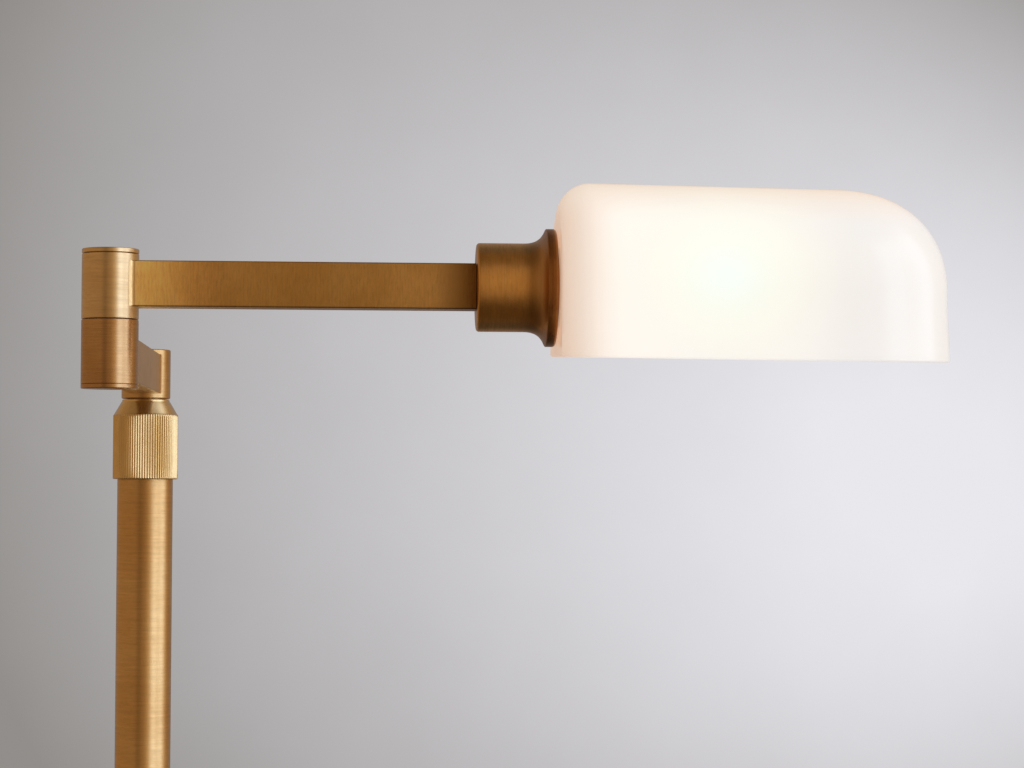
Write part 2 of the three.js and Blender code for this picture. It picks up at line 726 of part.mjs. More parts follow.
// ---- Glass shade ----
// Half outline of the shade in its group's frame, from the middle of its back wall to its nose:
// back wall, rounded corner, a side that closes in slightly, and a rounded, slightly squared front.
function shadeHalfOutline(inset) {
  const back = SHADE_START + inset;
  const rear = SHADE_REAR_RADIUS - inset;
  const corner = SHADE_CORNER - inset;
  const noseStart = SHADE_START + SHADE_LENGTH - SHADE_NOSE;
  const nosePoints = arc(0, 0, 1, 0, 90, 8).map(([across, along]) => [
    (SHADE_FRONT_RADIUS - inset) * across ** (2 / SHADE_NOSE_POWER),
    noseStart + (SHADE_NOSE - inset) * along ** (2 / SHADE_NOSE_POWER),
  ]);
  nosePoints.at(-1)[0] = 0;
  return [[0, back], ...arc(rear - corner, back + corner, corner, -90, 0, 5), ...nosePoints];
}

// The dome is the outline turned about the arm's axis; the skirt is the same outline carried straight down.
function shadeSolid(inset, skirtDepth) {
  const half = shadeHalfOutline(inset);
  const dome = turned(half, FINE);
  const upperHalf = new THREE.BoxGeometry(200, 300, 500).translate(-100, 0, 130);
  const outline = half.map(([radius, along]) => new THREE.Vector2(radius, along));
  const mirrored = outline.slice(1, -1).reverse().map((point) => new THREE.Vector2(-point.x, point.y));
  const plan = new THREE.Shape([...outline, ...mirrored]);
  const skirt = new THREE.ExtrudeGeometry(plan, { depth: skirtDepth, bevelEnabled: false });
  flareSkirt(skirt, skirtDepth);
  // The outline's width becomes Y, its length stays on Z and its depth becomes +X, which is down.
  const basis = new THREE.Matrix4().makeBasis(
    new THREE.Vector3(0, 1, 0),
    new THREE.Vector3(0, 0, 1),
    new THREE.Vector3(1, 0, 0),
  );
  skirt.applyMatrix4(basis);
  return solid(dome).intersect(solid(upperHalf)).add(solid(skirt));
}

// Widens the skirt's sides and nose evenly from its top, at depth 0, to its open edge.
// The back wall stays upright.
function flareSkirt(skirt, skirtDepth) {
  const position = skirt.getAttribute("position");
  const fullFlare = (SHADE_FLARE * skirtDepth) / SHADE_SKIRT;
  for (let i = 0; i < position.count; i++) {
    const share = position.getZ(i) / skirtDepth;
    const across = 1 + (share * fullFlare) / SHADE_REAR_RADIUS;
    const along = 1 + (share * fullFlare) / SHADE_LENGTH;
    position.setX(i, position.getX(i) * across);
    position.setY(i, SHADE_START + (position.getY(i) - SHADE_START) * along);
  }
}

// The glass hangs very slightly nose-down on its ring: each point drops in proportion to its distance.
function droop(geometry) {
  const position = geometry.getAttribute("position");
  for (let i = 0; i < position.count; i++) {
    position.setX(i, position.getX(i) + SHADE_DROOP * (position.getZ(i) - SHADE_START));
  }
  return geometry;
}

function shadeGeometry() {
  const outside = shadeSolid(0, SHADE_SKIRT);
  const inside = shadeSolid(GLASS, SHADE_SKIRT + 5);
  const hole = solid(disc(FITTER_HOLE, SHADE_START - 2, SHADE_START + GLASS + 2, MEDIUM));
  return droop(geometryOf(outside.subtract(inside).subtract(hole)));
}

add(shade, "glass_shade", shadeGeometry(), opalGlass);
const GASKET_BACK = SHADE_START + GLASS + 0.6;
const RING_BACK = SHADE_START + GLASS + 2.1;
add(shade, "shade_gasket", ring(26, FITTER_HOLE, GASKET_BACK, RING_BACK - GAP), rubber);
add(shade, "shade_ring", ring(27, HOLDER_RADIUS + GAP, RING_BACK, HOLDER_FRONT - 1, MEDIUM), phenolic);

export default lamp;
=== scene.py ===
import json
import math

import bmesh
import bpy
from mathutils import Matrix, Vector


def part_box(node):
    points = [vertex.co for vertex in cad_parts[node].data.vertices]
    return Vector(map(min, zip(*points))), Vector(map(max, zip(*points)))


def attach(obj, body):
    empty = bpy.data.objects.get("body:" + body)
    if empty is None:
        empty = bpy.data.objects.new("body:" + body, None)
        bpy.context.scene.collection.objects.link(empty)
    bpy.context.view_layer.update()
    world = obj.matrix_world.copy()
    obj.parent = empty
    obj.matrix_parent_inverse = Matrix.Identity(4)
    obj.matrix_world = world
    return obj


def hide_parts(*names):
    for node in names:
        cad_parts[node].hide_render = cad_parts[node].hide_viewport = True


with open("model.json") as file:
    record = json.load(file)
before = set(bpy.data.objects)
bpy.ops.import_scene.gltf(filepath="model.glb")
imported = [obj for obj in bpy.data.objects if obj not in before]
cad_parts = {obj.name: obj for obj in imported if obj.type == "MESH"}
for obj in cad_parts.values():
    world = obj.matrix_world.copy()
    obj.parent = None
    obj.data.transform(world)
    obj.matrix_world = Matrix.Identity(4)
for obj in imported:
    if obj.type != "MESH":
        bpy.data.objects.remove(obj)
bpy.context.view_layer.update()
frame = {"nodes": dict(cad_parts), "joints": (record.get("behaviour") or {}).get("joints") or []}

MM = 0.001  # every mesh below is built in millimetres of the part's own frame
JOINTS = {joint["name"]: joint for joint in frame["joints"]}
STEM_X, STEM_Y, ARM1_Z = (value / MM for value in JOINTS["stem_swivel"]["pos_m"])
ELBOW_X, ELBOW_Y, _ = (value / MM for value in JOINTS["elbow_swivel"]["pos_m"])
CUP_BACK, _, ARM2_Z = (value / MM for value in JOINTS["shade_tilt"]["pos_m"])
STEM = (STEM_X, STEM_Y, 0)
ELBOW = (ELBOW_X, ELBOW_Y, 0)
HEAD = (0, ELBOW_Y, ARM2_Z)  # a point on the upper arm's own axis


def low(node):
    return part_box(node)[0] / MM


def high(node):
    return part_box(node)[1] / MM


def radius(node, axis="z"):
    """Half the width of a round node, across its axis."""
    size = high(node) - low(node)
    return size.y / 2 if axis == "x" else size.x / 2


# ---- Camera: level with the arms, a long lens, looking slightly up ----
CAMERA_PLACE = Vector((0.11216, -1.49305, ARM1_Z * MM - 0.05858))
CAMERA_YAW = math.radians(3.368)
CAMERA_PITCH = math.radians(2.094)
CAMERA_ROLL = math.radians(0.269)
LENS_MM = 95.66


def make_camera():
    data = bpy.data.cameras.new("camera")
    data.lens = LENS_MM
    data.sensor_width = 36
    data.clip_start = 0.01
    data.clip_end = 100
    camera = bpy.data.objects.new("camera", data)
    bpy.context.scene.collection.objects.link(camera)
    forward = Vector((
        math.sin(CAMERA_YAW) * math.cos(CAMERA_PITCH),
        math.cos(CAMERA_YAW) * math.cos(CAMERA_PITCH),
        math.sin(CAMERA_PITCH),
    ))
    level = Vector((math.cos(CAMERA_YAW), -math.sin(CAMERA_YAW), 0))
    upright = level.cross(forward)
    right = level * math.cos(CAMERA_ROLL) + upright * math.sin(CAMERA_ROLL)
    up = upright * math.cos(CAMERA_ROLL) - level * math.sin(CAMERA_ROLL)
    turn = Matrix((right, up, -forward)).transposed().to_4x4()
    camera.matrix_world = Matrix.Translation(CAMERA_PLACE) @ turn
    bpy.context.scene.camera = camera


# ---- Mesh helpers ----
SMOOTH_ANGLE = math.radians(32)
ROUND_STEPS = 128


def mesh_of(name, vertices, faces):
    mesh = bpy.data.meshes.new(name)
    mesh.from_pydata([Vector(v) * MM for v in vertices], [], faces)
    tidy = bmesh.new()
    tidy.from_mesh(mesh)
    bmesh.ops.remove_doubles(tidy, verts=tidy.verts, dist=1e-7)
    loose = [edge for edge in tidy.edges if not edge.link_faces]
    bmesh.ops.delete(tidy, geom=loose, context="EDGES")
    bmesh.ops.recalc_face_normals(tidy, faces=tidy.faces)
    tidy.to_mesh(mesh)
    tidy.free()
    return mesh


def make_piece(name, shape, material, body, slot, *nodes, cutter=None):
    """A smooth-shaded closed piece, less the cutter's shape, that stands for the given CAD nodes."""
    piece = bpy.data.objects.new(name, mesh_of(name, *shape))
    bpy.context.scene.collection.objects.link(piece)
    if cutter is not None:
        cut_away(piece, cutter)
    mesh = piece.data
    mesh.polygons.foreach_set("use_smooth", [True] * len(mesh.polygons))
    mesh.set_sharp_from_angle(angle=SMOOTH_ANGLE)
    mesh.materials.clear()
    mesh.materials.append(material)
    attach(piece, body)
    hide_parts(*nodes)
    return piece


def cut_away(piece, cutter):
    tool = bpy.data.objects.new("cutter", mesh_of("cutter", *cutter))
    bpy.context.scene.collection.objects.link(tool)
    modifier = piece.modifiers.new("cut", "BOOLEAN")
    modifier.operation = "DIFFERENCE"
    modifier.solver = "EXACT"
    modifier.object = tool
    cut = bpy.data.meshes.new_from_object(piece.evaluated_get(bpy.context.evaluated_depsgraph_get()))
    piece.modifiers.clear()
    piece.data = cut
    bpy.data.objects.remove(tool)


def arc(at_radius, at_height, size, start, end, steps=6):
    """Profile points (radius, height) of an arc, its angles in degrees."""
    points = []
    for i in range(steps + 1):
        angle = math.radians(start + (end - start) * i / steps)
        points.append((at_radius + size * math.cos(angle), at_height + size * math.sin(angle)))
    return points


def curve(start, first, second, end, steps=14):
    """Profile points of a cubic curve between start and end."""
    points = []
    for i in range(steps + 1):
        t = i / steps
        weights = ((1 - t) ** 3, 3 * t * (1 - t) ** 2, 3 * t * t * (1 - t), t**3)
        controls = (start, first, second, end)
        points.append(tuple(sum(w * p[axis] for w, p in zip(weights, controls)) for axis in (0, 1)))
    return points


def lower_edge(at_radius, height, size, steps=5):
    return arc(at_radius - size, height + size, size, -90, 0, steps)


def upper_edge(at_radius, height, size, steps=5):
    return arc(at_radius - size, height - size, size, 0, 90, steps)


def turned(profile, centre, axis="z", steps=ROUND_STEPS, ripple=None):
    """(radius, height) points turned about an axis through centre. A profile that starts and ends on
    the axis closes itself there; any other is closed as a ring. ripple(angle, height, radius) is added
    to the radius."""
    on_axis = profile[0][0] == 0 and profile[-1][0] == 0
    vertices, faces = [], []
    for i in range(steps):
        angle = 2 * math.pi * i / steps
        for at_radius, height in profile:
            size = at_radius + (ripple(angle, height, at_radius) if ripple else 0)
            a, b = size * math.cos(angle), size * math.sin(angle)
            offset = Vector((a, b, height)) if axis == "z" else Vector((height, a, b))
            vertices.append(Vector(centre) + offset)
    count = len(profile)
    for i in range(steps):
        here, beside = i * count, (i + 1) % steps * count
        for j in range(count - 1 if on_axis else count):
            above = (j + 1) % count
            faces.append((here + j, here + above, beside + above, beside + j))
    return vertices, faces


def disc(at_radius, bottom, top, edge=0.0):
    """Profile of a solid disc, its outer edges rounded."""
    if not edge:
        return [(0, bottom), (at_radius, bottom), (at_radius, top), (0, top)]
    return [(0, bottom), *lower_edge(at_radius, bottom, edge), *upper_edge(at_radius, top, edge), (0, top)]


def ring(outer, inner, bottom, top, edge=0.0):
    """Profile of a ring, its outer edges rounded."""
    if not edge:
        return [(inner, bottom), (outer, bottom), (outer, top), (inner, top)]
    return [(inner, bottom), *lower_edge(outer, bottom, edge), *upper_edge(outer, top, edge), (inner, top)]


def bar(width, height, corner, stations, steps=24):
    """A bar with rounded long edges. Each station gives, for a distance across, the place on the bar
    as (across, along), so that an end can follow a round neighbour. Returns (across, along, up) points."""
    half = width / 2
    side = [(-half + corner + x, z) for x, z in arc(0, height / 2 - corner, corner, 180, 90, 5)]
    flat = [(-half + corner + (width - 2 * corner) * i / steps, height / 2) for i in range(1, steps)]
    top = side + flat + [(-x, z) for x, z in reversed(side)]
    count = len(top)
    outline = top + [(x, -z) for x, z in reversed(top)]
    total = len(outline)
    vertices = [(*station(x), z) for station in stations for x, z in outline]
    last = (len(stations) - 1) * total
    faces = []
    for row in range(0, last, total):
        for i in range(total):
            beside = (i + 1) % total
            faces.append((row + i, row + beside, row + total + beside, row + total + i))
    for first in (0, last):
        for i in range(count - 1):
            faces.append((first + i, first + i + 1, first + total - 2 - i, first + total - 1 - i))
    return vertices, faces


# ---- Materials ----
class Tree:
    """Adds nodes to a node tree and links them."""

    def __init__(self, tree):
        self.tree = tree
        tree.nodes.clear()

    def add(self, kind, **settings):
        node = self.tree.nodes.new(kind)
        for key, value in settings.items():
            setattr(node, key, value)
        return node

    def feed(self, value, socket):
        if isinstance(value, bpy.types.NodeSocket):
            self.tree.links.new(value, socket)
        elif isinstance(value, tuple) and len(value) == 3 and len(socket.default_value) == 4:
            socket.default_value = (*value, 1)
        else:
            socket.default_value = value

    def math(self, operation, *values):
        node = self.add("ShaderNodeMath", operation=operation)
        for value, socket in zip(values, node.inputs):
            self.feed(value, socket)
        return node.outputs[0]

    def ranged(self, value, from_low, from_high, to_low=0.0, to_high=1.0, smooth=False):
        node = self.add("ShaderNodeMapRange", interpolation_type="SMOOTHSTEP" if smooth else "LINEAR")
        ends = {"From Min": from_low, "From Max": from_high, "To Min": to_low, "To Max": to_high}
        for name, number in ends.items():
            self.feed(number, node.inputs[name])
        self.feed(value, node.inputs["Value"])
        return node.outputs["Result"]

    def mix(self, factor, first, second):
        node = self.add("ShaderNodeMix", data_type="RGBA")
        self.feed(factor, node.inputs[0])
        self.feed(first, node.inputs[6])
        self.feed(second, node.inputs[7])
        return node.outputs[2]

    def object_place(self):
        return self.add("ShaderNodeTexCoord").outputs["Object"]

    def noise(self, scale, stretch=(1, 1, 1), detail=4, roughness=0.55, distortion=0):
        mapping = self.add("ShaderNodeMapping")
        mapping.inputs["Scale"].default_value = stretch
        self.feed(self.object_place(), mapping.inputs["Vector"])
        noise = self.add("ShaderNodeTexNoise")
        values = {"Scale": scale, "Detail": detail, "Roughness": roughness, "Distortion": distortion}
        for name, number in values.items():
            noise.inputs[name].default_value = number
        self.feed(mapping.outputs["Vector"], noise.inputs["Vector"])
        return noise.outputs["Fac"]

    def bump(self, height, strength, distance):
        node = self.add("ShaderNodeBump")
        node.inputs["Strength"].default_value = strength
        node.inputs["Distance"].default_value = distance
        self.feed(height, node.inputs["Height"])
        return node.outputs["Normal"]

    def principled(self, **values):
        shader = self.add("ShaderNodeBsdfPrincipled")
        for name, value in values.items():
            self.feed(value, shader.inputs[name.replace("_", " ")])
        output = self.add("ShaderNodeOutputMaterial")
        self.feed(shader.outputs["BSDF"], output.inputs["Surface"])
        return shader


def new_material(name):
    material = bpy.data.materials.new(name)
    material.use_nodes = True
    return material, Tree(material.node_tree)


BRASS = (0.87, 0.62, 0.32)
BRASS_AGED = (0.80, 0.53, 0.25)
# PALE_BRASS and DARK_BRASS are lit and shaded copies of one brass: painted light on the upper elbow barrel,
# painted shade on the lower
PALE_BRASS = (0.96, 0.76, 0.48)
PALE_BRASS_AGED = (0.88, 0.66, 0.38)
DARK_BRASS = (0.72, 0.475, 0.255)
DARK_BRASS_AGED = (0.62, 0.385, 0.19)
REED_BRASS = (0.99, 0.80, 0.47)
REED_AGED = (0.92, 0.70, 0.37)
CUP_PAINTED_LIGHT_AND_SHADE = (  # darker towards the rim: painted shade and a painted reflection on the flange, with a faint painted highlight on the barrel
    (0.0, (0.92, 0.92, 0.9)),
    (0.2, (1.06, 1.08, 1.05)),
    (0.55, (0.98, 0.98, 0.96)),
    (0.68, (0.62, 0.62, 0.66)),
    (0.80, (0.62, 0.66, 1.0)),
    (0.90, (0.34, 0.24, 0.22)),
    (1.0, (0.30, 0.19, 0.13)),
)
CUP_BRASS = (1.0, 0.61, 0.23)
CUP_AGED = (0.92, 0.51, 0.17)
ARM_BRASS = (0.88, 0.58, 0.235)
ARM_AGED = (0.77, 0.48, 0.175)
GRAIN = 1400  # brush lines, in noise cells per metre across them
SLOW = 0.02  # how slowly the grain changes along a brush line


def brushed(
    name,
    bright,
    aged,
    stretch,
    tangent=None,
    roughness=0.3,
    depth=0.00002,
    along=None,
    dressed=None,
    wear=0.3,
):
    """Satin metal: fine brush lines, a slow patina and faint handling marks. tangent is the axis that the
    lines run round. along is painted light and shade that changes down the piece's length: see
    lengthwise(). dressed is where the surface is worked hollow, from and to along X. depth is how deep
    the lines are, in metres, and wear is how strongly they and the specks show."""
    material, tree = new_material(name)
    lines = tree.noise(GRAIN, stretch, detail=5, roughness=0.75)
    patina = tree.noise(26, detail=5, roughness=0.6, distortion=0.5)
    marks = tree.noise(210, detail=3)
    specks = tree.noise(900, tuple(share**0.5 for share in stretch), detail=4, roughness=0.8)
    body_colour = tree.mix(tree.ranged(patina, 0.35, 0.7, smooth=True), bright, aged)
    # painted light and shade that changes along the piece
    if along:
        body_colour = lengthwise(tree, body_colour, *along)
    dark_line = tree.ranged(lines, 0.35, 0.75, 0.0, wear)
    colour = tree.mix(dark_line, body_colour, tuple(0.6 * c for c in aged))
    speck = tree.ranged(specks, 0.45, 0.75, 0.0, wear)
    colour = tree.mix(speck, colour, tuple(0.5 * c for c in aged))
    line_gloss = tree.ranged(lines, 0.25, 0.75, -0.05, 0.07)
    mark_gloss = tree.ranged(marks, 0.45, 0.75, 0.0, 0.06)
    gloss = tree.math("ADD", tree.math("ADD", line_gloss, mark_gloss), roughness)
    normal = tree.bump(lines, 0.5, depth)
    if dressed:
        normal = hollow(tree, normal, *dressed)
    shader = tree.principled(
        Metallic=1.0,
        Anisotropic=0.6 if tangent else 0.0,
        Anisotropic_Rotation=0.25,
        Base_Color=colour,
        Roughness=gloss,
        Normal=normal,
    )
    if tangent:
        node = tree.add("ShaderNodeTangent", direction_type="RADIAL", axis=tangent)
        tree.feed(node.outputs["Tangent"], shader.inputs["Tangent"])
    return material


def hollow(tree, normal, start, end, size):
    """A very shallow curve, size deep, in the faces along X from start to end."""
    place = tree.add("ShaderNodeSeparateXYZ")
    tree.feed(tree.object_place(), place.inputs["Vector"])
    share = tree.ranged(place.outputs["X"], start * MM, end * MM, 1.0, 0.0)
    node = tree.add("ShaderNodeBump")
    node.inputs["Strength"].default_value = 1.0
    node.inputs["Distance"].default_value = size * MM
    tree.feed(tree.math("MULTIPLY", share, share), node.inputs["Height"])
    tree.feed(normal, node.inputs["Normal"])
    return node.outputs["Normal"]


def lengthwise(tree, colour, start, end, stops):
    """The colour times a tint that changes along X from start to end. Each stop is a share of that
    length and its tint."""
    place = tree.add("ShaderNodeSeparateXYZ")
    tree.feed(tree.object_place(), place.inputs["Vector"])
    ramp = tree.add("ShaderNodeValToRGB")
    tree.feed(tree.ranged(place.outputs["X"], start * MM, end * MM), ramp.inputs["Fac"])
    elements = ramp.color_ramp.elements
    while len(elements) < len(stops):
        elements.new(0.5)
    for element, (share, tint) in zip(elements, stops):
        element.position = share
        element.color = (*tint, 1)
    node = tree.add("ShaderNodeMix", data_type="RGBA", blend_type="MULTIPLY")
    node.inputs[0].default_value = 1.0
    tree.feed(colour, node.inputs[6])
    tree.feed(ramp.outputs["Color"], node.inputs[7])
    return node.outputs[2]


def grainy(name, light, dark, roughness, grain, depth, metallic=0.0):
    """A moulded, cast or plated surface: slow colour variation and a fine grain."""
    material, tree = new_material(name)
    clouds = tree.noise(30)
    pits = tree.noise(grain, detail=6, roughness=0.65)
    tree.principled(
        Metallic=metallic,
        Base_Color=tree.mix(tree.ranged(clouds, 0.35, 0.65), light, dark),
        Roughness=tree.ranged(pits, 0.3, 0.7, roughness - 0.08, roughness + 0.1),
        Normal=tree.bump(pits, 0.4, depth),
    )
    return material


ARM_PAINTED_LIGHT_AND_SHADE = (  # painted light and shade: a painted highlight next to the elbow and on its fillet, painted shade in the corner by the cup
    (0.066, (1.22, 1.42, 1.95)),
    (0.08, (1.44, 1.56, 1.50)),
    (0.13, (1.40, 1.52, 1.42)),
    (0.22, (1.20, 1.22, 1.22)),
    (0.32, (1.0, 1.0, 1.0)),
    (0.52, (0.90, 0.90, 0.86)),
    (0.66, (0.93, 0.94, 0.92)),
    (0.80, (1.04, 1.06, 1.05)),
    (0.88, (0.99, 1.0, 1.02)),
    (0.93, (0.62, 0.60, 0.64)),
    (0.985, (0.24, 0.19, 0.15)),
)
upright_brass = brushed("brass_turned_upright", BRASS, BRASS_AGED, (SLOW, SLOW, 1), "Z")
# painted light and painted shade: a paler copy of the brass for the upper elbow barrel, a darker one for
# the lower barrel and its cap
lit_brass = brushed("brass_upper_elbow", PALE_BRASS, PALE_BRASS_AGED, (SLOW, SLOW, 1), "Z")
shaded_brass = brushed("brass_lower_elbow", DARK_BRASS, DARK_BRASS_AGED, (SLOW, SLOW, 1), "Z", 0.25)
collar_brass = brushed(
    "brass_collar",
    REED_BRASS,
    REED_AGED,
    (0.2, 0.2, SLOW),
    "Z",
    roughness=0.27,
    depth=0.000001,
    wear=0.12,
)
pole_brass = brushed("brass_pole", BRASS, BRASS_AGED, (SLOW, SLOW, 0.7), "Z", 0.32)
arm1_brass = brushed("brass_lower_arm", BRASS, BRASS_AGED, (SLOW, 1, SLOW), roughness=0.36)
arm2_brass = brushed(
    "brass_upper_arm",
    ARM_BRASS,
    ARM_AGED,
    (1, 0.05, 0.05),
    roughness=0.32,
    # painted highlight near the elbow and painted shade by the cup, down the arm's length
    along=(ELBOW_X, CUP_BACK, ARM_PAINTED_LIGHT_AND_SHADE),
    dressed=(ELBOW_X + 12, ELBOW_X + 50, 3.4),
    wear=0.42,
)
cup_brass = brushed(
    "brass_cup",
    CUP_BRASS,
    CUP_AGED,
    (1, SLOW, SLOW),
    "X",
    # painted shade and reflection, darker towards the rim
    along=(CUP_BACK, high("socket_cup").x, CUP_PAINTED_LIGHT_AND_SHADE),
    wear=0.4,
)
machined_brass = brushed("brass_machined", BRASS, BRASS_AGED, (0.3, 0.3, 0.3))
steel = grainy("zinc_plated_steel", (0.62, 0.63, 0.65), (0.47, 0.48, 0.5), 0.38, 260, 0.00004, metallic=1.0)
iron = grainy("cast_iron", (0.06, 0.06, 0.065), (0.035, 0.035, 0.04), 0.7, 500, 0.0003, metallic=0.6)
rubber = grainy("black_rubber", (0.022, 0.022, 0.022), (0.013, 0.013, 0.014), 0.72, 1800, 0.0001)
nylon = grainy("natural_nylon", (0.72, 0.7, 0.62), (0.62, 0.6, 0.53), 0.5, 1200, 0.00005)
phenolic = grainy("dark_phenolic", (0.035, 0.028, 0.024), (0.022, 0.017, 0.014), 0.38, 900, 0.00005)
housing_plastic = grainy("white_bulb_housing", (0.82, 0.81, 0.78), (0.76, 0.74, 0.7), 0.35, 1500, 0.00002)

SHADE_BACK = low("glass_shade").x
GLOBE_X = high("bulb_globe").x - radius("bulb_globe", "x")


def opal_glass():
    """Thick white glass lit from inside: white round the bulb, warm at its back wall and along its top."""
    material, tree = new_material("opal_glass")
    place = tree.add("ShaderNodeSeparateXYZ")
    tree.feed(tree.object_place(), place.inputs["Vector"])
    along, up = place.outputs["X"], place.outputs["Z"]

    def spot(size):
        """1 beside the bulb's middle, fading out over the given size in metres."""
        across = tree.math("DIVIDE", tree.math("SUBTRACT", along, (GLOBE_X + 7) * MM), size)
        rise = tree.math("DIVIDE", tree.math("SUBTRACT", up, (ARM2_Z + 3) * MM), 0.85 * size)
        squares = tree.math("ADD", tree.math("MULTIPLY", across, across), tree.math("MULTIPLY", rise, rise))
        return tree.math("EXPONENT", tree.math("MULTIPLY", squares, -1))

    behind_corner = tree.ranged(along, (SHADE_BACK - 2) * MM, (SHADE_BACK + 30) * MM, smooth=True)
    past_corner = tree.ranged(along, (SHADE_BACK + 12) * MM, (SHADE_BACK + 62) * MM, smooth=True)
    to_nose = tree.ranged(along, (GLOBE_X + 25) * MM, (GLOBE_X + 75) * MM, smooth=True)
    over_top = tree.ranged(up, (ARM2_Z + 26) * MM, (ARM2_Z + 50) * MM, smooth=True)
    glow = tree.mix(behind_corner, (0.43, 0.27, 0.17), (0.60, 0.545, 0.49))
    glow = tree.mix(past_corner, glow, (0.535, 0.51, 0.49))
    glow = tree.mix(to_nose, glow, (0.45, 0.44, 0.435))
    glow = tree.mix(over_top, glow, (0.485, 0.365, 0.265))
    glow = tree.mix(spot(0.040), glow, (0.57, 0.59, 0.475))
    glow = tree.mix(spot(0.018), glow, (0.52, 0.60, 0.57))
    clouds = tree.noise(14, detail=2)
    milk = tree.mix(tree.ranged(clouds, 0.35, 0.65), (0.80, 0.77, 0.74), (0.76, 0.73, 0.70))
    seeds = tree.noise(320, detail=2)
    tree.principled(
        Base_Color=milk,
        Roughness=tree.ranged(seeds, 0.3, 0.7, 0.03, 0.05),
        Emission_Color=glow,
        Emission_Strength=1.0,
        Normal=tree.bump(tree.noise(18, detail=1), 0.15, 0.0006),
    )
    return material


def bulb_diffuser():
    """The frosted globe, lit."""
    material, tree = new_material("bulb_diffuser")
    frost = tree.noise(700, detail=3)
    tree.principled(
        Base_Color=tree.mix(tree.ranged(frost, 0.3, 0.7), (0.9, 0.88, 0.84), (0.84, 0.82, 0.78)),
        Roughness=tree.ranged(frost, 0.3, 0.7, 0.35, 0.5),
        Emission_Color=(1.0, 0.83, 0.6),
        Emission_Strength=2.2,
        Normal=tree.bump(frost, 0.2, 0.00003),
    )
    return material


glass = opal_glass()
diffuser = bulb_diffuser()


# ---- Base, stem and collar ----
def make_base():
    pad_r, pad_top = radius("base_pad"), high("base_pad").z
    pad = disc(pad_r, low("base_pad").z, pad_top, 0.8)
    make_piece("rubber_pad", turned(pad, STEM), rubber, "base", "black_rubber", "base_pad")

    cover_r, cover_bottom, cover_top = radius("base_cover"), low("base_cover").z, high("base_cover").z
    wall, shoulder = 1.6, 8
    flat = cover_top - 2
    bore = 5.3
    profile = [
        (cover_r - wall, cover_bottom + 0.2),
        *arc(cover_r - wall / 2, cover_bottom + wall / 2, wall / 2, -170, 0, 8),
        *arc(cover_r - shoulder, flat - shoulder, shoulder, 0, 88, 16),
        (70, flat + 1.15),
        (30, cover_top),
        (bore, cover_top),
        (bore, cover_top - wall),
        (30, cover_top - wall),
        *arc(cover_r - shoulder, flat - shoulder, shoulder - wall, 90, 0, 10),
    ]
    gland_z = (low("cord_gland").z + high("cord_gland").z) / 2
    gland_r = radius("cord_gland", "x")
    hole = turned(disc(gland_r - 1.4, -cover_r - 10, -cover_r + 12), (0, 0, gland_z), "x", 48)
    cover = turned(profile, STEM, steps=192)
    make_piece("brass_cover", cover, upright_brass, "base", "satin_brass", "base_cover", cutter=hole)

    outer = low("cord_gland").x
    bush = [
        (3.6, -cover_r + 7),
        (gland_r - 1.7, -cover_r + 7),
        (gland_r - 1.7, -cover_r - 0.5),
        *arc(gland_r - 0.3, -cover_r - 0.8, 0.3, 90, 0, 3),
        *arc(gland_r - 1.2, outer + 1.2, 1.2, 0, -90, 5),
        *arc(4.2, outer + 0.6, 0.6, -90, -180, 4),
    ]
    gland = turned(bush, (0, 0, gland_z), "x", 64)
    make_piece("cord_bush", gland, rubber, "base", "black_rubber", "cord_gland")

    foot_r, foot_bottom, foot_top = radius("stem_foot"), low("stem_foot").z, high("stem_foot").z
    socket = radius("stem_tube") + 0.3
    foot = [
        (bore, foot_bottom),
        *lower_edge(foot_r, foot_bottom, 0.5),
        *upper_edge(foot_r, foot_bottom + 3, 0.5),
        *arc(foot_r - 0.5, foot_bottom + 12, 8.6, -98, -175, 12),
        *upper_edge(18.9, foot_top, 0.7),
        (socket, foot_top),
        (socket, low("stem_tube").z - 0.3),
        (bore, low("stem_tube").z - 0.3),
    ]
    make_piece("stem_flange", turned(foot, STEM), upright_brass, "base", "satin_brass", "stem_foot")

    tube_r = radius("stem_tube")
    tube = ring(tube_r, tube_r - 1.2, low("stem_tube").z, high("stem_tube").z, 0.3)
    make_piece("pole", turned(tube, STEM), pole_brass, "base", "satin_brass", "stem_tube")


REEDS = 80
REED_DEPTH = 0.44
REED_LENGTH = 35.1
CONE_TOP_R = 12.8


def make_collar():
    outer = radius("reeded_collar")
    bottom, top = low("reeded_collar").z, high("reeded_collar").z
    reed_top = bottom + REED_LENGTH
    bore, rod_bore = radius("stem_tube") + 0.3, radius("elbow_pivot") + 4.8

    def reeds(angle, height, at_radius):
        """Rounded ribs with sharp valleys that run out at both ends of the reeded band."""
        if at_radius < outer - 0.6:
            return 0
        inside = min(height - bottom - 0.7, reed_top - 0.5 - height)
        share = max(0.0, min(1.0, inside / 0.7 + 0.5))
        return -REED_DEPTH * share * abs(math.sin(REEDS * angle / 2)) ** 1.6

    band = [(outer, bottom + 1.6 + (reed_top - bottom - 3) * i / 6) for i in range(7)]
    cone_start, cone_end = (outer - 0.4, reed_top + 0.1), (CONE_TOP_R + 0.1, top - 0.95)
    profile = [
        (bore, bottom),
        (outer - 0.9, bottom),
        (outer - 0.35, bottom + 0.15),
        (outer, bottom + 0.6),
        *band,
        (outer, reed_top - 0.6),
        (outer - 0.15, reed_top - 0.15),
        *curve(cone_start, (16, reed_top + 1.9), (14, top - 2.6), cone_end, 12),
        *upper_edge(CONE_TOP_R, top, 0.35),
        (rod_bore, top),
        (rod_bore, top - 8.5),
        (11.9, top - 8.6),
        (bore, top - 14.1),
    ]
    shape = turned(profile, STEM, steps=REEDS * 16, ripple=reeds)
    make_piece("reeded_collar_fine", shape, collar_brass, "collar", "satin_brass", "reeded_collar")


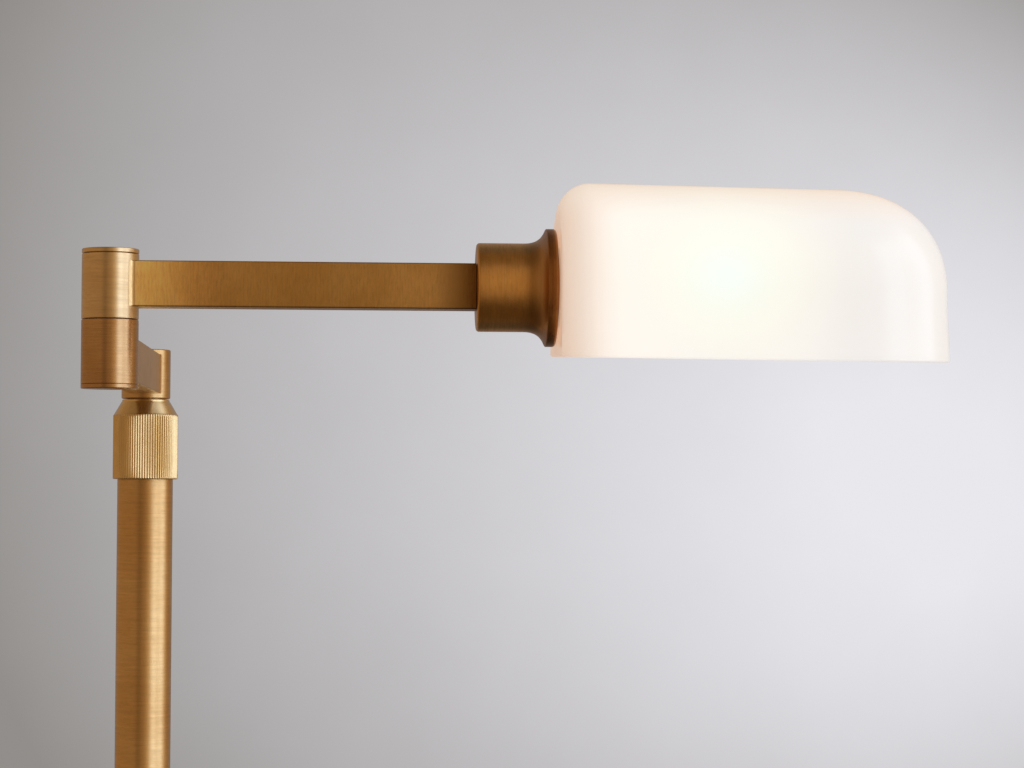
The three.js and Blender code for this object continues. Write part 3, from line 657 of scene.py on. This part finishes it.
ROD_R = 9.5
ROD_WALL = 1.6


def make_rod():
    bottom, top = low("inner_rod").z, high("inner_rod").z
    foot_r = radius("inner_rod")
    profile = [
        (ROD_R - ROD_WALL, bottom),
        (foot_r, bottom),
        (foot_r, bottom + 2.7),
        (ROD_R, bottom + 2.7),
        *upper_edge(ROD_R, top, 0.3),
        (ROD_R - ROD_WALL, top),
    ]
    rod = turned(profile, STEM, steps=96)
    make_piece("sliding_rod", rod, pole_brass, "extension", "satin_brass", "inner_rod")


# ---- Barrels and arms ----
BARREL_GAP = 0.05
BARREL_EDGE = 0.8
BAR_CORNER = 0.8
BARREL_BORE_R = 10.7
SPIGOT_R = 10.4
CAP_BAND = 2.05  # visible height of the elbow's end caps
FILLET_START, FILLET_END, FILLET_SIZE = 9.2, 11.8, 3.4  # from the barrel's axis


def make_lower_arm():
    barrel_r = radius("stem_barrel")
    bottom, top = low("stem_barrel").z, high("stem_barrel").z
    cap_r = radius("stem_barrel_cap")
    profile = [
        (10.2, bottom),
        *lower_edge(barrel_r, bottom, BARREL_EDGE),
        *upper_edge(barrel_r, top, BARREL_EDGE),
        (cap_r + 0.3, top),
        (cap_r + 0.3, top - 2),
        (10.6, top - 2),
        (10.6, ARM1_Z + 3),
        (6.2, ARM1_Z + 3),
        (6.2, bottom + 1.95),
        (10.2, bottom + 1.95),
    ]
    barrel = turned(profile, STEM)
    make_piece("stem_barrel_fine", barrel, upright_brass, "lower_arm", "satin_brass", "stem_barrel")
    cap = turned(disc(cap_r, low("stem_barrel_cap").z, high("stem_barrel_cap").z, 0.3), STEM)
    make_piece("stem_barrel_lid", cap, upright_brass, "lower_arm", "satin_brass", "stem_barrel_cap")

    width = 2 * radius("lower_arm_bar")
    height = high("lower_arm_bar").z - low("lower_arm_bar").z
    reach = barrel_r + BARREL_GAP
    length = STEM_Y - ELBOW_Y
    at_elbow = fillet_stations(width / 2, reach)
    at_stem = [mirrored(station, length) for station in reversed(at_elbow)]
    points, faces = bar(width, height, BAR_CORNER, at_elbow + at_stem)
    placed = [(x, ELBOW_Y + along, ARM1_Z + z) for x, along, z in points]
    make_piece("lower_arm", (placed, faces), arm1_brass, "lower_arm", "satin_brass", "lower_arm_bar")


def fillet_stations(half, reach):
    """Stations of a bar that widens in a fillet where it meets a barrel of the given reach."""

    def half_width(along):
        inside = max(0.0, FILLET_END - along)
        return half + FILLET_SIZE - math.sqrt(FILLET_SIZE**2 - inside**2)

    def station(share):
        side_along = FILLET_START + (reach + 4 - FILLET_START) * share
        scale = half_width(side_along) / half

        def place(across):
            wide = across * scale
            on_barrel = math.sqrt(reach**2 - (across * half_width(FILLET_START) / half) ** 2)
            return wide, on_barrel * (1 - share) + (reach + 4) * share

        return place

    return [station(share) for share in (0, 0.07, 0.14, 0.21, 0.28, 0.35, 0.42, 1)]


def mirrored(station, length):
    def place(across):
        wide, along = station(across)
        return wide, length - along

    return place


def barrel_profile(node, edge_at_bottom, edge_at_top, reach_down=0.0):
    outer = radius(node)
    bottom, top = low(node).z - reach_down, high(node).z
    return [
        (BARREL_BORE_R, bottom),
        *lower_edge(outer, bottom, edge_at_bottom),
        *upper_edge(outer, top, edge_at_top),
        (BARREL_BORE_R, top),
    ]


def cap_profile(node, upside_down):
    """An end cap: a solid band as wide as the barrel, above a spigot, or below it if upside_down."""
    outer = radius(node)
    bottom, top = low(node).z, high(node).z
    spigot_bore = SPIGOT_R - 1.5
    if upside_down:
        return [
            (0, bottom),
            *lower_edge(outer, bottom, 0.45),
            *upper_edge(outer, bottom + CAP_BAND, 0.2),
            (SPIGOT_R, bottom + CAP_BAND),
            (SPIGOT_R, top),
            (spigot_bore, top),
            (spigot_bore, bottom + CAP_BAND),
            (0, bottom + CAP_BAND),
        ]
    return [
        (0, top - CAP_BAND),
        (spigot_bore, top - CAP_BAND),
        (spigot_bore, bottom),
        (SPIGOT_R, bottom),
        (SPIGOT_R, top - CAP_BAND),
        *lower_edge(outer, top - CAP_BAND, 0.2),
        *upper_edge(outer, top, 0.45),
        (0, top),
    ]


def make_elbow():
    lower = turned(barrel_profile("elbow_lower_barrel", 0.15, 0.35, reach_down=0.3), ELBOW)
    upper = turned(barrel_profile("elbow_upper_barrel", 0.35, 0.25), ELBOW)
    bottom_cap = turned(cap_profile("elbow_bottom_cap", upside_down=True), ELBOW)
    top_cap = turned(cap_profile("elbow_top_cap", upside_down=False), ELBOW)
    rows = (
        ("elbow_barrel_low", lower, shaded_brass, "lower_arm", "elbow_lower_barrel"),
        ("elbow_barrel_high", upper, lit_brass, "upper_arm", "elbow_upper_barrel"),
        ("elbow_cap_low", bottom_cap, shaded_brass, "lower_arm", "elbow_bottom_cap"),
        ("elbow_cap_high", top_cap, lit_brass, "upper_arm", "elbow_top_cap"),
    )
    for name, shape, material, body, node in rows:
        make_piece(name, shape, material, body, "satin_brass", node)


def make_upper_arm():
    lo, hi = low("upper_arm_bar"), high("upper_arm_bar")
    stations = fillet_stations((hi.y - lo.y) / 2, radius("elbow_upper_barrel") + BARREL_GAP)
    stations.append(lambda across: (across, hi.x - ELBOW_X))
    points, faces = bar(hi.y - lo.y, hi.z - lo.z, BAR_CORNER, stations)
    placed = [(ELBOW_X + along, ELBOW_Y + across, ARM2_Z + z) for across, along, z in points]
    make_piece("upper_arm", (placed, faces), arm2_brass, "upper_arm", "satin_brass", "upper_arm_bar")


# ---- Shade head ----
CUP_WALL = 2.1
CUP_BACK_WALL = 3
CUP_STRAIGHT = 22  # length of the plain barrel
CUP_RIM = 4.6  # thickness of the flange's rim
CUP_SPREAD = 6.85  # how far the flange stands out from the barrel
PIVOT_HOLE_R = 5.3


def make_cup():
    """The bell cup: a plain barrel that flares into a short rimmed flange."""
    back, front = low("socket_cup").x, high("socket_cup").x
    rim_r = radius("socket_cup", "x")
    barrel_r = rim_r - CUP_SPREAD
    rim_back = front - CUP_RIM
    bore = barrel_r - CUP_WALL
    flare_start, flare_end = (barrel_r, back + CUP_STRAIGHT), (rim_r - 0.7, rim_back - 0.35)
    profile = [
        (PIVOT_HOLE_R, back),
        *arc(barrel_r - 1.4, back + 1.4, 1.4, -90, 0, 8),
        *curve(flare_start, (barrel_r, back + 28), (barrel_r + 2.4, rim_back - 1.9), flare_end, 20),
        *arc(rim_r - 0.5, rim_back + 0.35, 0.5, -60, 0, 4),
        *arc(rim_r - 1.1, front - 1.1, 1.1, 0, 90, 6),
        (bore, front),
        (bore, back + CUP_BACK_WALL),
        (PIVOT_HOLE_R, back + CUP_BACK_WALL),
    ]
    cup = turned(profile, HEAD, "x")
    make_piece("bell_cup", cup, cup_brass, "shade_head", "dark_brass", "socket_cup")


GLASS_WALL = 3.5
LIP = 1.1  # rounding of the open edge
REAR_R = 49.2  # half the width behind, and at the start of the nose
FRONT_R = 48.4
CORNER = 15.2  # rounding of the back wall into the dome
FLARE = 1.6  # how much wider the open edge is, at each side and at the nose
SKIRT = 32.1  # straight part below the arm's axis
DROOP = math.tan(math.radians(0.46))
SHADE_LENGTH = 183.5
NOSE_LENGTH = 54
NOSE_POWER = 2.3  # 2 would be an ellipse; more is squarer
TILT = math.radians(2.6)  # the shade's rest turn about the upper arm
FITTER_HOLE_R = 20


def shade_outline(inset):
    """From the middle of the back wall round one side to the nose: (across, along) points."""
    back, nose_start = SHADE_BACK + inset, SHADE_BACK + SHADE_LENGTH - NOSE_LENGTH
    rear, front, corner = REAR_R - inset, FRONT_R - inset, CORNER - inset
    side_start = back + corner
    flat = [((rear - corner) * i / 8, back) for i in range(8)]
    turn = arc(rear - corner, back + corner, corner, -90, 0, 18)
    side, nose = [], []
    for i in range(1, 24):
        side.append((rear + (front - rear) * i / 24, side_start + (nose_start - side_start) * i / 24))
    for i in range(48):
        angle = math.pi / 2 * i / 48
        across = front * math.cos(angle) ** (2 / NOSE_POWER)
        nose.append((across, nose_start + (NOSE_LENGTH - inset) * math.sin(angle) ** (2 / NOSE_POWER)))
    return [*flat, *turn, *side, *nose, (0, nose_start + NOSE_LENGTH - inset)]


def shade_point(across, along, side, depth):
    """A point of the skirt, which runs straight down and widens a little towards its edge."""
    share = (-depth / SKIRT) ** 1.5 if depth < 0 else 0
    y = side * across * (1 + share * FLARE / REAR_R)
    return SHADE_BACK + (along - SHADE_BACK) * (1 + share * FLARE / SHADE_LENGTH), y, depth


def hung(point):
    """The point in the part's frame, with the shade's droop and its rest turn."""
    x, y, z = point
    z -= DROOP * (x - SHADE_BACK)
    turned_y = y * math.cos(TILT) - z * math.sin(TILT)
    turned_z = y * math.sin(TILT) + z * math.cos(TILT)
    return x, ELBOW_Y + turned_y, ARM2_Z + turned_z


def shade_shell(wall_inset):
    """Rows of points, one for each outline point: from the middle of the open edge up one side,
    over the dome and down to the other edge. wall_inset is 0 outside and the wall's thickness inside."""
    middle = GLASS_WALL / 2
    towards = 1 if wall_inset else -1
    levels = [(middle, -SKIRT)]
    for i in range(6):
        angle = math.pi / 2 * i / 5
        inset = wall_inset - towards * LIP * (1 - math.sin(angle))
        levels.append((inset, -SKIRT + LIP * (1 - math.cos(angle))))
    levels += [(wall_inset, (-SKIRT + LIP) * (1 - i / 9)) for i in range(1, 9)]
    outlines = {inset: shade_outline(inset) for inset, _ in levels}
    rows = []
    for i, (across, along) in enumerate(outlines[wall_inset]):
        skirt = [(*outlines[inset][i], depth) for inset, depth in levels]
        row = [shade_point(a, b, -1, depth) for a, b, depth in skirt]
        for step in range(65):
            swing = math.pi * (1 - step / 64)
            row.append((along, across * math.cos(swing), across * math.sin(swing)))
        row += [shade_point(a, b, 1, depth) for a, b, depth in reversed(skirt)]
        rows.append([hung(point) for point in row])
    return rows


def make_shade():
    outside, inside = shade_shell(0), shade_shell(GLASS_WALL)
    vertices = [point for shell in (outside, inside) for row in shell for point in row]
    count, width = len(outside), len(outside[0])
    inner = count * width
    faces = []
    for i in range(count - 1):
        for j in range(width - 1):
            a, b = i * width + j, (i + 1) * width + j
            faces.append((a, a + 1, b + 1, b))
            faces.append((inner + a, inner + b, inner + b + 1, inner + a + 1))
    hole = turned(disc(FITTER_HOLE_R, SHADE_BACK - 2, SHADE_BACK + GLASS_WALL + 2), HEAD, "x", 64)
    shell = (vertices, faces)
    make_piece("opal_shade", shell, glass, "shade_head", "opal_glass", "glass_shade", cutter=hole)


def make_lamp_holder():
    back, front = low("lamp_holder").x, high("lamp_holder").x
    outer = radius("lamp_holder", "x")
    profile = [
        (0, back),
        (16, back),
        (outer, back + 7),
        *arc(outer - 0.8, front - 0.8, 0.8, 0, 90, 4),
        (outer - 3, front),
        (outer - 3, back + 10),
        (0, back + 10),
    ]
    make_piece("holder", turned(profile, HEAD, "x", 96), phenolic, "shade_head", "phenolic", "lamp_holder")

    lo, hi = low("shade_ring").x, high("shade_ring").x
    ring_r = radius("shade_ring", "x")

    def grips(angle, height, at_radius):
        """Shallow finger grips round the outside."""
        return -0.5 * max(0.0, math.sin(18 * angle)) if at_radius > ring_r - 0.1 else 0

    profile = [
        (outer + 0.3, lo),
        *arc(ring_r - 0.6, lo + 0.6, 0.6, -90, 0, 3),
        *arc(ring_r - 0.6, hi - 0.6, 0.6, 0, 90, 3),
        (outer + 0.3, hi),
    ]
    shape = turned(profile, HEAD, "x", 144, ripple=grips)
    make_piece("retaining_ring", shape, phenolic, "shade_head", "phenolic", "shade_ring")


def make_bulb():
    back, front = low("bulb_cap").x, high("bulb_cap").x
    profile = [(0, back), (8, back), (12, back + 4)]
    for turn in range(3):
        for i in range(1, 9):
            wave = math.sin(math.pi * i / 8)
            profile.append((12 + wave, back + 4 + 4 * (turn + i / 8)))
    profile += [(13, front), (0, front)]
    make_piece("cap_thread", turned(profile, HEAD, "x", 72), steel, "shade_head", "steel", "bulb_cap")

    start, end = low("bulb_housing").x, high("bulb_housing").x
    wide = radius("bulb_housing", "x")
    outside = curve((13.2, start), (15.5, start + 12), (26, end - 18), (wide, end - 5), 18)
    inside = [(r - 2, x) for r, x in reversed(outside[3:])]
    profile = [(0, start), *outside, (wide, end), (wide - 2, end), *inside, (0, inside[-1][1])]
    shape = turned(profile, HEAD, "x", 96)
    make_piece("led_housing", shape, housing_plastic, "shade_head", "bulb_plastic", "bulb_housing")

    globe_r = radius("bulb_globe", "x")
    centre = high("bulb_globe").x - globe_r
    rear = math.degrees(math.asin((low("bulb_globe").x - centre) / globe_r))
    wall = 1.5
    inner_rear = math.degrees(math.asin((low("bulb_globe").x - centre) / (globe_r - wall)))
    outer_arc = arc(0, centre, globe_r, rear, 90, 32)
    inner_arc = arc(0, centre, globe_r - wall, 90, inner_rear, 24)
    outer_arc[-1] = (0, centre + globe_r)
    inner_arc[0] = (0, centre + globe_r - wall)
    shape = turned([*outer_arc, *inner_arc], HEAD, "x", 96)
    make_piece("frosted_globe", shape, diffuser, "shade_head", "bulb_diffuser", "bulb_globe")


# ---- CAD nodes shown as they are, each with its own procedural finish ----
KEPT = {
    "base_weight": (iron, "cast_iron"),
    "base_nut": (steel, "steel"),
    "base_washer": (steel, "steel"),
    "base_nipple": (steel, "steel"),
    "stem_plug": (machined_brass, "inner_brass"),
    "guide_bush": (nylon, "nylon"),
    "collet": (nylon, "nylon"),
    "rod_glide": (nylon, "nylon"),
    "stem_spindle": (steel, "steel"),
    "stem_thrust_washer": (nylon, "nylon"),
    "stem_spring_washer": (steel, "steel"),
    "stem_nut": (steel, "steel"),
    "elbow_pivot": (steel, "steel"),
    "elbow_bottom_nut": (steel, "steel"),
    "elbow_bottom_washer": (steel, "steel"),
    "elbow_friction_washer": (nylon, "nylon"),
    "elbow_spring_washer": (steel, "steel"),
    "elbow_top_nut": (steel, "steel"),
    "upper_arm_plug": (machined_brass, "inner_brass"),
    "tilt_pivot": (steel, "steel"),
    "tilt_friction_washer": (nylon, "nylon"),
    "tilt_spring_washer": (steel, "steel"),
    "tilt_nut": (steel, "steel"),
    "holder_spacer_left": (steel, "steel"),
    "holder_spacer_right": (steel, "steel"),
    "holder_screw_left": (steel, "steel"),
    "holder_screw_right": (steel, "steel"),
    "screw_shell": (machined_brass, "inner_brass"),
    "centre_contact": (machined_brass, "inner_brass"),
    "bulb_contact": (machined_brass, "inner_brass"),
    "shade_gasket": (rubber, "black_rubber"),
}


def finish_kept_nodes():
    for name, (material, slot_name) in KEPT.items():
        node = frame["nodes"][name]
        node.data.materials.clear()
        node.data.materials.append(material)


# ---- Studio: a pale floor, a soft grey backdrop and one broad soft light ----
FLOOR_RADIUS = 6.0  # metres
FLOOR_Z = -0.2  # just under the pad


def make_floor():
    rings, steps = 24, 96
    vertices = [(0, 0, FLOOR_Z)]
    faces = []
    for i in range(1, rings + 1):
        size = FLOOR_RADIUS / MM * (i / rings) ** 1.5
        for j in range(steps):
            angle = 2 * math.pi * j / steps
            vertices.append((size * math.cos(angle), size * math.sin(angle), FLOOR_Z))
    for j in range(steps):
        faces.append((0, 1 + j, 1 + (j + 1) % steps))
    for i in range(rings - 1):
        for j in range(steps):
            a, b = 1 + i * steps + j, 1 + i * steps + (j + 1) % steps
            faces.append((a, a + steps, b + steps, b))
    floor = bpy.data.objects.new("floor", mesh_of("floor", vertices, faces))
    bpy.context.scene.collection.objects.link(floor)
    material, tree = new_material("floor_paper")
    grain = tree.noise(60, detail=3)
    shader = tree.principled(
        Base_Color=tree.mix(tree.ranged(grain, 0.3, 0.7), (0.86, 0.855, 0.85), (0.83, 0.825, 0.82)),
        Roughness=0.85,
    )
    length = tree.add("ShaderNodeVectorMath", operation="LENGTH")
    tree.feed(tree.object_place(), length.inputs[0])
    fade = tree.ranged(length.outputs["Value"], 1.2, FLOOR_RADIUS * 0.95, 1.0, 0.0, smooth=True)
    tree.feed(fade, shader.inputs["Alpha"])
    floor.data.materials.append(material)
    floor.visible_glossy = False


ROOM = (0.34, 0.205, 0.098)  # the warm room that the metal reflects
BEHIND = (0.27, 0.222, 0.205)  # the greyer paper behind the lamp
GLOW = (0.62, 0.43, 0.22)  # the warm spill round the softbox
SOFTBOX = (1.3, 1.36, 1.5)


def make_world():
    """Camera rays see the backdrop, the metal and glass reflect a warm room with a softbox, and the
    diffuse light is neutral."""
    world = bpy.data.worlds.new("studio")
    bpy.context.scene.world = world
    world.use_nodes = True
    tree = Tree(world.node_tree)
    direction = tree.add("ShaderNodeSeparateXYZ")
    tree.feed(tree.add("ShaderNodeTexCoord").outputs["Generated"], direction.inputs["Vector"])
    x, y, z = (direction.outputs[name] for name in "XYZ")
    azimuth = tree.math("ARCTAN2", x, tree.math("MULTIPLY", y, -1))  # 0 looks from the lamp to the front
    elevation = tree.math("ARCSINE", z)

    def ramp(value, start, end, at_start=0.0, at_end=1.0):
        """A smooth change between two angles in degrees."""
        return tree.ranged(value, math.radians(start), math.radians(end), at_start, at_end, smooth=True)

    def band(value, low_start, low_end, high_start, high_end):
        """1 between two angles, with a soft edge on each side."""
        fall = ramp(value, high_start, high_end, 1.0, 0.0)
        return tree.math("MULTIPLY", ramp(value, low_start, low_end), fall)

    height = band(elevation, -38, -14, 36, 60)
    lean = tree.ranged(elevation, math.radians(-6), math.radians(3), 0.0, math.radians(10))
    leaning = tree.math("SUBTRACT", azimuth, lean)  # the softbox reaches further round higher up
    spill = tree.math("MULTIPLY", band(azimuth, 6, 30, 94, 124), height)
    core = tree.math("MULTIPLY", band(azimuth, 27, 43, 120, 140), band(leaning, -60, -50, 78, 98))
    core = tree.math("MULTIPLY", core, height)
    # A flag with one crisp edge takes some light from the middle of the softbox.
    flag = tree.math("MULTIPLY", band(azimuth, 56, 56.5, 66, 84), band(elevation, -40, -30, 28, 29))
    unflagged = tree.math("SUBTRACT", 1.0, tree.math("MULTIPLY", flag, 0.32))
    softbox = tree.math("MULTIPLY", core, unflagged)
    # The room darkens to its floor and ceiling, and in one stand beside the camera.
    dark = tree.math("MULTIPLY", band(azimuth, -30, -20, -10, -2), 0.36)
    below = ramp(elevation, -56, 6, 0.24, 1.0)
    above = ramp(elevation, 20, 72, 1.0, 0.42)
    level = tree.math("MULTIPLY", tree.math("MULTIPLY", below, above), tree.math("SUBTRACT", 1.0, dark))
    turned_away = ramp(tree.math("ABSOLUTE", azimuth), 125, 150)
    room = tree.mix(level, (0, 0, 0), tree.mix(turned_away, ROOM, BEHIND))
    reflected = tree.mix(softbox, tree.mix(spill, room, GLOW), SOFTBOX)

    sky = ramp(elevation, -30, 60, 0.30, 0.62)
    diffuse = tree.mix(sky, (0, 0, 0), (1.0, 0.98, 0.96))
    diffuse = tree.mix(tree.math("MULTIPLY", softbox, 0.8), diffuse, (1.15, 1.12, 1.06))

    path = tree.add("ShaderNodeLightPath")
    lit = tree.mix(path.outputs["Is Diffuse Ray"], reflected, diffuse)
    glow = backdrop(tree, azimuth, elevation)
    seen = tree.mix(path.outputs["Is Camera Ray"], lit, glow)
    shader = tree.add("ShaderNodeBackground")
    tree.feed(seen, shader.inputs["Color"])
    output = tree.add("ShaderNodeOutputWorld")
    tree.feed(shader.outputs["Background"], output.inputs["Surface"])


PAPER_SHADE, PAPER_LIT = (0.285, 0.27, 0.258), (0.812, 0.805, 0.846)
LOWEST_LEVEL, HIGHEST_LEVEL = 0.27, 0.82
PLAIN_LEVEL = 0.64  # the even paper that other camera angles see


def backdrop(tree, azimuth, elevation):
    """A plain grey paper behind the lamp, brighter where the light falls on it, low and to the right."""
    degree = math.radians(1)
    across = tree.math("SUBTRACT", tree.math("WRAP", azimuth, 2 * math.pi, 0.0), math.pi - CAMERA_YAW)
    across = tree.math("DIVIDE", across, -degree)
    up = tree.math("DIVIDE", tree.math("SUBTRACT", elevation, CAMERA_PITCH), degree)

    def squared(value, centre, size):
        share = tree.math("DIVIDE", tree.math("SUBTRACT", value, centre), size)
        return tree.math("MULTIPLY", share, share)

    fall_off = tree.math("ADD", squared(across, -3.6, 21.6), squared(up, 1.2, 31.9))
    paper = tree.math("SUBTRACT", 0.41, fall_off)
    pool = tree.math("ADD", squared(across, 14.74, 12.98), squared(up, -2.68, 12.93))
    light = tree.math("MULTIPLY", tree.math("EXPONENT", tree.math("MULTIPLY", pool, -1)), 0.95)
    level = tree.math("MAXIMUM", tree.math("ADD", paper, light), LOWEST_LEVEL)
    mottle = tree.noise(22, detail=3)
    level = tree.math("MULTIPLY", level, tree.ranged(mottle, 0.3, 0.7, 0.985, 1.015))
    beside = tree.ranged(tree.math("ABSOLUTE", across), 14, 28, smooth=True)
    over = tree.ranged(tree.math("ABSOLUTE", up), 10, 28, smooth=True)
    away = tree.math("MAXIMUM", beside, over)
    plain = tree.math("MULTIPLY", away, PLAIN_LEVEL)
    level = tree.math("ADD", tree.math("MULTIPLY", level, tree.math("SUBTRACT", 1, away)), plain)
    return tree.mix(tree.ranged(level, LOWEST_LEVEL, HIGHEST_LEVEL), PAPER_SHADE, PAPER_LIT)


make_camera()
make_world()
make_floor()
make_base()
make_collar()
make_rod()
make_lower_arm()
make_elbow()
make_upper_arm()
make_cup()
make_shade()
make_lamp_holder()
make_bulb()
finish_kept_nodes()

bpy.context.scene.view_settings.view_transform = "Standard"
bpy.context.view_layer.update()
